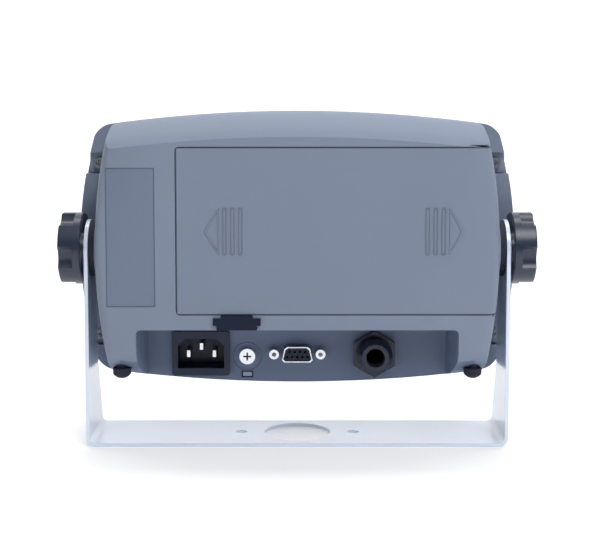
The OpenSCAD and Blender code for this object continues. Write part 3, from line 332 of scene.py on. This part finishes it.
# ---- Housings ----
# Two casings moulded from blue-grey plastic with a fine spark-eroded grain. The
# rear one carries the connector bay, the front one laps over its rim.
def moulded(name, colour, roughness=0.5, grain=2600.0, depth=0.00003, edge_wear_and_painted_light=1.25,
            radius=0.00025, gloss=0.3, keep=False):
    """Moulded plastic: fine grain, faint flow clouds, and edges lifted paler or darker by a
    factor.
    A mild lift is wear; the strong lifts on the knobs and gland nut are painted highlights,
    and a drop below one is a painted shade line.

    With keep, it gives the finish and its colour, so that painted shade can still be laid in
    recesses.
    """
    finish = Finish(name, Specular_IOR_Level=gloss)
    pits = finish.noise(grain, 2.0, rough=0.6)
    cloud = finish.noise(22.0, 4.0)
    near_edge = finish.edge(0.0004)
    tone = finish.blend(cloud, shade(colour, 0.93), shade(colour, 1.07))
    speck = finish.blend(finish.clamp(pits, 0.35, 0.65), shade(colour, 0.96), tone)
    paint = finish.blend(near_edge * 0.6, speck, shade(colour, edge_wear_and_painted_light))
    finish.feed(
        Base_Color=paint,
        Roughness=roughness + 0.10 * cloud - 0.08 * near_edge,
        Normal=finish.bump(pits, depth, 0.6, finish.rounded(radius)),
    )
    return (finish, paint) if keep else finish.material


def within(finish, low, high, soft=0.0002):
    """One inside a box given by two corners in the shared frame, nought outside it."""
    inside = None
    for axis in range(3):
        along = finish.along(axis)
        share = finish.clamp(along, low[axis] - soft, low[axis]) * finish.clamp(
            along, high[axis] + soft, high[axis]
        )
        inside = share if inside is None else inside * share
    return inside


def shaded(kept, boxes):
    """Multiplies a kept finish's colour inside each box: painted shade in recesses and gaps,
    and the lift back inside a shaded rim.
    """
    finish, colour = kept
    for low, high, factor in boxes:
        colour = finish.node(
            "ShaderNodeMix", {"data_type": "RGBA", "blend_type": "MULTIPLY"},
            {"Factor": within(finish, low, high), 6: colour, 7: factor},
            output=2,
        )
    finish.feed(Base_Color=colour)
    return finish.material


# Painted shade in the rear housing's colour: a dark line round the label recess, with the field
# inside lifted back to four fifths; the inside of the connector bay darkened; the battery
# cover's seat near black; and a dark surround round the seal insert.
label_edge_shade = ((-0.0991, -0.0500, 0.0775), (-0.0737, -0.0200, 0.1499), (0.58, 0.60, 0.65, 1.0))
label_field = ((-0.0984, -0.0500, 0.0782), (-0.0744, -0.0200, 0.1492), (1.38, 1.37, 1.31, 1.0))
bay_shade = ((-0.0930, -0.0335, 0.0300), (0.0930, 0.0200, 0.0640), (0.64, 0.68, 0.77, 1.0))
cover_seat_shade = ((-0.0640, -0.0344, 0.0725), (0.0980, -0.0280, 0.1612), (0.25, 0.26, 0.30, 1.0))
insert_low, insert_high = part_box("seal_insert")
insert_room = Vector((0.0006, 0.0030, 0.0006))
insert_surround_shade = (
    tuple(Vector(insert_low) - insert_room),
    tuple(Vector(insert_high) + insert_room),
    (0.18, 0.20, 0.26, 1.0),
)
rear_plastic = shaded(
    moulded("rear_plastic", (0.214, 0.256, 0.348, 1.0), edge_wear_and_painted_light=1.12, keep=True),
    (label_edge_shade, label_field, bay_shade, cover_seat_shade, insert_surround_shade),
)
front_plastic = moulded("front_plastic", (0.195, 0.232, 0.315, 1.0))
dress("rear_housing", "housing_body", rear_plastic, 0)
dress("front_housing", "housing_body", front_plastic, 0)


# ---- Housing seal, screws and feet ----
# A cord of soft rubber lies between the two casings, four pan-head screws in the
# corner pockets pull them together, and two moulded feet snap in below.
def rubber(name, colour, roughness=0.62, grain=1800.0):
    """Moulded rubber: dull, with a fine grain and dusty paler patches."""
    finish = Finish(name, Specular_IOR_Level=0.35)
    dust = finish.noise(60.0, 4.0)
    near_edge = finish.edge(0.0003)
    skin = finish.blend(dust, shade(colour, 0.8), shade(colour, 1.3))
    return finish.feed(
        Base_Color=finish.blend(near_edge * 0.5, skin, shade(colour, 2.2)),
        Roughness=roughness + 0.15 * dust,
        Normal=finish.bump(finish.noise(grain), 0.00003, 0.5, finish.rounded(0.0002)),
    )


def metal(name, colour, roughness=0.22, stretch=(1.0, 1.0, 1.0), wear=0.5):
    """Plated or turned metal: faint drawn lines, cloudy gloss and brighter worn edges."""
    finish = Finish(name, Metallic=1.0)
    lines = finish.noise(900.0, 3.0, stretch)
    cloud = finish.noise(70.0, 3.0)
    near_edge = finish.edge(0.0002)
    tone = finish.blend(cloud, shade(colour, 0.86), shade(colour, 1.06))
    return finish.feed(
        Base_Color=finish.blend(near_edge * wear, tone, shade(colour, 1.25)),
        Roughness=roughness + 0.12 * cloud + 0.08 * lines,
        Normal=finish.bump(lines, 0.000008, 0.5, finish.rounded(0.00012)),
    )


black_rubber = rubber("black_rubber", (0.012, 0.017, 0.031, 1.0))
zinc = metal("zinc_steel", (0.60, 0.63, 0.68, 1.0), 0.24)
coat("housing_seal", black_rubber)
screw_steel = metal("dark_steel", (0.20, 0.215, 0.25, 1.0), 0.30)
dress("housing_screws", "housing_body", screw_steel, 0.00012)
dress("rubber_feet", "housing_body", black_rubber, 0.0003, 3)


# ---- Pivots ----
# Turned brass inserts, a rubber friction disc on each side, a zinc washer on the
# outside of the arm, and a black knob moulded round the head of its stud.
brass = metal("insert_brass", (0.78, 0.58, 0.28, 1.0), 0.28, (6.0, 1.0, 1.0))
# The knobs' edges are painted 3.6 times paler, a painted highlight along them.
knob_black = moulded(
    "knob_black", (0.022, 0.032, 0.060, 1.0), 0.26, 2200.0, 0.000015, 3.6, gloss=0.5
)
coat("pivot_inserts", brass)
dress("friction_discs", "housing_body", black_rubber, 0.0002)
for side in ("left", "right"):
    turning = "knob_" + side + "_body"
    dress("washer_" + side, "washer_" + side + "_body", zinc, 0.0001)
    dress("stud_" + side, turning, zinc, 0.0002)
    dress("knob_" + side, turning, knob_black, 0.00045, 3)


# ---- Battery cover and latch ----
# The cover is a thin moulding that follows the housing's curve, with outline
# arrows raised on it. The black latch below it is one small sprung slider.
# Painted shade on the cover: the whole of it darkened to a third, and the face inside a thin
# rim lifted back, which leaves a dark line round its edge. The drop at its edges, the raised
# arrows' among them, is a painted shade line too.
cover_rim_shade = ((-0.0700, -0.0500, 0.0650), (0.1300, 0.0100, 0.1700), (0.32, 0.33, 0.38, 1.0))
cover_face = ((-0.0621, -0.0500, 0.0741), (0.1300, 0.0100, 0.1598), (3.12, 3.03, 2.63, 1.0))
cover_plastic = shaded(
    moulded(
        "cover_plastic", (0.206, 0.247, 0.338, 1.0), edge_wear_and_painted_light=0.2, radius=0.00008, keep=True
    ),
    (cover_rim_shade, cover_face),
)
dress("battery_cover", "cover_body", cover_plastic, 0)
latch_black = moulded(
    "latch_black", (0.007, 0.012, 0.034, 1.0), 0.45, 2200.0, 0.000015, 3.0, gloss=0.2
)
dress("battery_latch", "latch_body", latch_black, 0.00025)


# ---- Battery tray, cells and contacts ----
# A moulded tray behind the cover holds two rows of three round cells. Each row
# ends in a wound conical spring at one end and a nickel plate at the other.
coat("battery_tray", moulded("tray_plastic", (0.15, 0.175, 0.22, 1.0), 0.55))
nickel = metal("plated_steel", (0.74, 0.76, 0.80, 1.0), 0.14)
coat("battery_contacts", nickel)
wrap = Finish("cell_wrap", Coat_Weight=0.6, Coat_Roughness=0.12)
wrap_cloud = wrap.noise(30.0, 3.0)
cell_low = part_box("battery_cells")[0]
cell_pitch = 0.0501
gilt_l = 0.0125
from_end = wrap.node(
    "ShaderNodeMath", {"operation": "WRAP"},
    {0: wrap.along(0) - cell_low[0], 1: cell_pitch, 2: 0.0},
)
gilt = wrap.clamp(from_end, gilt_l, gilt_l - 0.0003)
cell_paint = wrap.feed(
    Base_Color=wrap.blend(
        gilt,
        wrap.blend(wrap_cloud, (0.030, 0.032, 0.036, 1.0), (0.045, 0.047, 0.052, 1.0)),
        wrap.blend(wrap_cloud, (0.42, 0.30, 0.15, 1.0), (0.52, 0.38, 0.19, 1.0)),
    ),
    Roughness=0.30 + 0.10 * wrap_cloud,
    Metallic=0.8 * gilt,
    Normal=wrap.bump(wrap.noise(1200.0), 0.00001, 0.4, wrap.rounded(0.0006)),
)
dress("battery_cells", "housing_body", cell_paint, 0.0006, 3)

spring_low, spring_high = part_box("battery_springs")
spring_r = (spring_high[1] - spring_low[1]) / 2
spring_y = (spring_high[1] + spring_low[1]) / 2
spring_l = 0.0022
wire_r = 0.0004
turns = 3
steps = 28
wound = bmesh.new()
for start, z, way in (
    (spring_low[0], spring_low[2] + spring_r, 1.0),
    (spring_high[0], spring_high[2] - spring_r, -1.0),
):
    first = start + way * wire_r
    wire = bmesh.ops.create_circle(
        wound, cap_ends=False, radius=wire_r, segments=10,
        matrix=Matrix.Translation((first, spring_y, z + spring_r - wire_r)),
    )["verts"]
    rim = list({edge for vert in wire for edge in vert.link_edges})
    before = set(wound.verts) - set(wire)
    bmesh.ops.spin(
        wound, geom=wire + rim, cent=(first, spring_y, z), axis=(1.0, 0.0, 0.0),
        dvec=(way * (spring_l - 2 * wire_r) / (turns * steps), 0.0, 0.0),
        angle=math.radians(360.0 * turns), steps=turns * steps, use_merge=False,
        use_duplicate=False,
    )
    for vert in set(wound.verts) - before:
        share = abs(vert.co.x - first) / spring_l
        squeeze = 1.0 - 0.42 * min(1.0, share)
        vert.co.y = spring_y + (vert.co.y - spring_y) * squeeze
        vert.co.z = z + (vert.co.z - z) * squeeze
ends = [edge for edge in wound.edges if len(edge.link_faces) == 1]
bmesh.ops.holes_fill(wound, edges=ends, sides=12)
springs = add_piece("wound_springs", wound, nickel, 60.0)
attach(springs, "housing_body")
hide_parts("battery_springs")


# ---- Mains inlet ----
# A black moulded inlet, pressed into the panel from outside, with three plated
# blades that stand in its socket.
inlet_black = moulded("inlet_black", (0.018, 0.027, 0.056, 1.0), 0.34, 2000.0, 0.000015, 2.6)
dress("inlet_body", "housing_body", inlet_black, 0.00035, 3)
dress("inlet_blades", "housing_body", nickel, 0.0003)


# ---- Serial connector ----
# A drawn and plated steel shell round a black insulator with nine contact holes,
# held by two hexagonal jack screws.
dress("serial_shell", "housing_body", nickel, 0.00012)
dress("serial_insulator", "housing_body",
      moulded("insulator_black", (0.012, 0.018, 0.040, 1.0), 0.42), 0.0001)
dress("serial_jackscrews", "housing_body", nickel, 0.00015)


# ---- Cable gland ----
# A nylon gland: a body with a hexagon against the panel, a dome nut that squeezes
# a rubber ring on to the cable, and a locknut inside the housing.
# The nylon's edges are painted four times paler, a painted highlight along them.
nylon = moulded(
    "gland_nylon", (0.006, 0.011, 0.030, 1.0), 0.22, 1500.0, 0.000012, 4.0, gloss=0.45
)
dress("gland_body", "housing_body", nylon, 0.0003, 3)
dress("gland_nut", "housing_body", nylon, 0.0003, 3)
dress("gland_seal", "housing_body", black_rubber, 0.0002)
coat("gland_locknut", nylon)


# ---- Security screw and insert ----
# A bright pan-head screw in a scribed ring, and a small pale plug under it.
driven = Finish("driven_screw", Metallic=1.0)
driven_cloud = driven.noise(70.0, 3.0)
head_low, head_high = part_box("security_screw")
middle = ((head_low[0] + head_high[0]) / 2, 0.0, (head_low[2] + head_high[2]) / 2)
from_axis = driven.node(
    "ShaderNodeVectorMath", {"operation": "DISTANCE"},
    {0: driven.place((1.0, 0.0, 1.0)), 1: middle}, output="Value",
)
# The Phillips cross in the head is painted near black: painted shade in its recess.
cross_reach = 0.0024
cross_shade = driven.clamp(from_axis, cross_reach, cross_reach - 0.0002) * driven.clamp(
    driven.along(1), head_low[1] + 0.0003, head_low[1] + 0.0008
)
screw_bright = driven.feed(
    Base_Color=driven.blend(
        cross_shade,
        driven.blend(driven_cloud, (0.74, 0.77, 0.83, 1.0), (0.90, 0.92, 0.96, 1.0)),
        (0.05, 0.055, 0.07, 1.0),
    ),
    Roughness=0.26 + 0.12 * driven_cloud,
    Normal=driven.bump(driven.noise(900.0), 0.000008, 0.5, driven.rounded(0.0001)),
)
dress("security_screw", "housing_body", screw_bright, 0.00015)
dress("seal_insert", "housing_body",
      moulded("pale_plastic", (0.30, 0.36, 0.47, 1.0), 0.45), 0.0002)


# ---- Front overlay and window ----
# A printed polyester film lies in a shallow recess of the front housing, round a
# clear window that is welded in from behind it.
film = Finish("overlay_film", Specular_IOR_Level=0.4)
film_grain = film.noise(3200.0, 2.0)
film_cloud = film.noise(12.0, 3.0)
strip_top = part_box("key_zero")[1][2] + 0.0065
key_strip = film.clamp(film.along(2), strip_top, strip_top - 0.0002)
overlay_film = film.feed(
    Base_Color=film.blend(
        key_strip,
        film.blend(film_cloud, (0.030, 0.036, 0.048, 1.0), (0.036, 0.043, 0.057, 1.0)),
        film.blend(film_cloud, (0.17, 0.20, 0.25, 1.0), (0.19, 0.22, 0.275, 1.0)),
    ),
    Roughness=0.38 + 0.08 * film_cloud,
    Normal=film.bump(film_grain, 0.00002, 0.4, film.rounded(0.0001)),
)
dress("front_overlay", "housing_body", overlay_film, 0.00008)
clear = Finish("window_clear", Alpha=0.07, IOR=1.49, Coat_Weight=0.5, Coat_Roughness=0.03)
smear = clear.noise(20.0, 4.0)
window_clear = clear.feed(
    Base_Color=clear.blend(smear, (0.80, 0.85, 0.88, 1.0), (0.88, 0.92, 0.94, 1.0)),
    Roughness=0.03 + 0.05 * smear,
    Normal=clear.bump(clear.noise(300.0), 0.000003, 0.3, clear.rounded(0.0002)),
)
dress("display_window", "housing_body", window_clear, 0.00015)


# ---- Display ----
# A liquid crystal glass in a black frame, lit from behind by a milky light guide.
# Five dark seven-segment noughts with a point stand on its face.
lcd = Finish("lcd_glass", Coat_Weight=0.7, Coat_Roughness=0.05)
lcd_cloud = lcd.noise(14.0, 3.0)
coat("display_glass", lcd.feed(
    Base_Color=lcd.blend(lcd_cloud, (0.37, 0.43, 0.33, 1.0), (0.42, 0.48, 0.37, 1.0)),
    Roughness=0.24 + 0.08 * lcd_cloud,
    Normal=lcd.bump(lcd.noise(1500.0), 0.000004, 0.3, lcd.rounded(0.0003)),
))
guide = Finish("light_guide", Subsurface_Weight=0.2)
guide_cloud = guide.noise(25.0, 3.0)
coat("backlight", guide.feed(
    Base_Color=guide.blend(guide_cloud, (0.80, 0.82, 0.78, 1.0), (0.88, 0.90, 0.86, 1.0)),
    Roughness=0.30 + 0.10 * guide_cloud,
    Normal=guide.bump(guide.noise(900.0), 0.00001, 0.4, guide.rounded(0.0005)),
))
coat("display_frame", moulded("frame_black", (0.018, 0.020, 0.026, 1.0), 0.45))

glass_low, glass_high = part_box("display_glass")
figure_h = 0.022
figure_w = 0.0115
bar = 0.0022
lean = 0.10
figure_y = glass_high[1] + 0.00001
figure_z = (glass_low[2] + glass_high[2]) / 2
segments = {
    "a": (0.0, 1.0, True), "b": (1.0, 0.5, False), "c": (1.0, -0.5, False),
    "d": (0.0, -1.0, True), "e": (-1.0, -0.5, False), "f": (-1.0, 0.5, False),
    "g": (0.0, 0.0, True),
}
zero_shape = "abcdef"
figures = bmesh.new()


def seven_segment(x, lit):
    for name in lit:
        side, level, flat = segments[name]
        length = (figure_w if flat else figure_h / 2) - 0.6 * bar
        at_x = x - side * figure_w / 2
        at_z = level * figure_h / 2
        bar_verts = bmesh.ops.create_cube(
            figures, size=1.0,
            matrix=Matrix.Translation((at_x, figure_y, figure_z + at_z))
            @ Matrix.Diagonal((length if flat else bar, 0.00006, bar if flat else length, 1.0)),
        )["verts"]
        tips = [e for v in bar_verts for e in v.link_edges
                if abs(e.verts[0].co.y - e.verts[1].co.y) > 0.00003]
        bmesh.ops.bevel(
            figures, geom=list(set(tips)), offset=0.49 * bar, offset_type="OFFSET", segments=1,
            profile=0.5, affect="EDGES", clamp_overlap=True, material=-1,
        )


for place in range(5):
    seven_segment(0.038 - place * 0.019, zero_shape)
for vert in figures.verts:
    vert.co.x -= lean * (vert.co.z - figure_z)
point = bmesh.ops.create_cube(
    figures, size=1.0,
    matrix=Matrix.Translation((-0.0095, figure_y, figure_z - figure_h / 2))
    @ Matrix.Diagonal((bar, 0.00006, bar, 1.0)),
)["verts"]
bmesh.ops.bevel(
    figures, geom=list({e for v in point for e in v.link_edges
                        if abs(e.verts[0].co.y - e.verts[1].co.y) > 0.00003}),
    offset=0.3 * bar, offset_type="OFFSET", segments=2, profile=0.5, affect="EDGES",
    clamp_overlap=True, material=-1,
)
ink = Finish("lcd_ink", Specular_IOR_Level=0.3)
ink_cloud = ink.noise(90.0, 2.0)
lcd_ink = ink.feed(
    Base_Color=ink.blend(ink_cloud, (0.018, 0.022, 0.018, 1.0), (0.030, 0.036, 0.030, 1.0)),
    Roughness=0.42 + 0.1 * ink_cloud,
)
digits = add_piece("lcd_figures", figures, lcd_ink, 30.0)
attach(digits, "housing_body")


# ---- Keys ----
# Four moulded caps that stand through the film, each with a raised mark that is
# printed dark: an on/off sign, a nought, a platform and a sheet of paper.
def key_cap(node):
    finish = Finish(node + "_cap")
    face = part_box(node)[1][1]
    mark = finish.clamp(finish.along(1), face - 0.00014, face - 0.00010)
    cloud = finish.noise(60.0, 3.0)
    near_edge = finish.edge(0.0003)
    cap = finish.blend(cloud, (0.46, 0.51, 0.58, 1.0), (0.53, 0.58, 0.65, 1.0))
    return finish.feed(
        Base_Color=finish.blend(
            mark,
            finish.blend(near_edge * 0.5, cap, (0.64, 0.69, 0.76, 1.0)),
            (0.03, 0.036, 0.05, 1.0),
        ),
        Roughness=0.42 + 0.08 * cloud,
        Normal=finish.bump(finish.noise(2000.0), 0.00002, 0.4, finish.rounded(0.0002)),
    )


for key in ("power", "zero", "tare", "print"):
    dress("key_" + key, key + "_key_body", key_cap("key_" + key), 0.00005, 1)


# ---- Boards and their components ----
# Two glass-fibre boards in green solder resist carry the circuits: chips, key
# switches and a buzzer on the main one, a transformer and capacitor on the other.
resist = Finish("board_green", Coat_Weight=0.5, Coat_Roughness=0.18)
weave = resist.noise(420.0, 2.0, (1.0, 1.0, 6.0))
tracks = resist.node(
    "ShaderNodeTexVoronoi", {"feature": "DISTANCE_TO_EDGE", "distance": "MANHATTAN"},
    {"Vector": resist.place(), "Scale": 150.0}, output=0,
)
lines = resist.clamp(tracks, 0.10, 0.07)
coat_green = resist.feed(
    Base_Color=resist.blend(
        lines,
        resist.blend(weave, (0.010, 0.085, 0.040, 1.0), (0.014, 0.105, 0.050, 1.0)),
        (0.030, 0.19, 0.085, 1.0),
    ),
    Roughness=0.36 + 0.1 * weave,
    Normal=resist.bump(lines, 0.00003, 0.6, resist.rounded(0.0001)),
)
coat("main_board", coat_green)
coat("power_board", coat_green)
coat("board_screws", zinc)
coat("power_screws", zinc)
coat("processor_chips", moulded("chip_epoxy", (0.018, 0.018, 0.020, 1.0), 0.55, 1600.0))
coat("key_switches", moulded("switch_black", (0.022, 0.022, 0.026, 1.0), 0.45))
coat("buzzer", moulded("buzzer_black", (0.020, 0.020, 0.023, 1.0), 0.40))

core = Finish("transformer_core", Specular_IOR_Level=0.5)
core_low, core_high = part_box("transformer")
sheets = core.noise(1600.0, 2.0, (0.02, 1.0, 0.02))
from_middle = core.node(
    "ShaderNodeMath", {"operation": "ABSOLUTE"},
    {0: core.along(0) - (core_low[0] + core_high[0]) / 2},
)
tape_half = 0.0102
tape = core.clamp(from_middle, tape_half, tape_half - 0.0002)
coat("transformer", core.feed(
    Base_Color=core.blend(
        tape,
        core.blend(sheets, (0.10, 0.10, 0.11, 1.0), (0.19, 0.19, 0.21, 1.0)),
        core.blend(sheets, (0.52, 0.36, 0.08, 1.0), (0.62, 0.45, 0.12, 1.0)),
    ),
    Roughness=0.45 + 0.15 * sheets,
    Normal=core.bump(sheets, 0.00004, 0.5, core.rounded(0.0004)),
))
sleeve = Finish("capacitor_sleeve", Coat_Weight=0.5, Coat_Roughness=0.15)
sleeve_cloud = sleeve.noise(80.0, 3.0)
coat("smoothing_capacitor", sleeve.feed(
    Base_Color=sleeve.blend(sleeve_cloud, (0.020, 0.030, 0.13, 1.0), (0.030, 0.042, 0.17, 1.0)),
    Roughness=0.30 + 0.1 * sleeve_cloud,
    Normal=sleeve.bump(sleeve.noise(600.0), 0.00001, 0.4, sleeve.rounded(0.0006)),
))
vinyl = Finish("ribbon_vinyl", Specular_IOR_Level=0.4)
cores = vinyl.node(
    "ShaderNodeTexWave", {"wave_type": "BANDS", "bands_direction": "X", "wave_profile": "SIN"},
    {"Vector": vinyl.place(), "Scale": 250.0}, output=1,
)
vinyl_cloud = vinyl.noise(60.0, 3.0)
coat("ribbon_cable", vinyl.feed(
    Base_Color=vinyl.blend(vinyl_cloud, (0.36, 0.37, 0.39, 1.0), (0.46, 0.47, 0.50, 1.0)),
    Roughness=0.42 + 0.1 * vinyl_cloud,
    Normal=vinyl.bump(cores, 0.0001, 0.6),
))
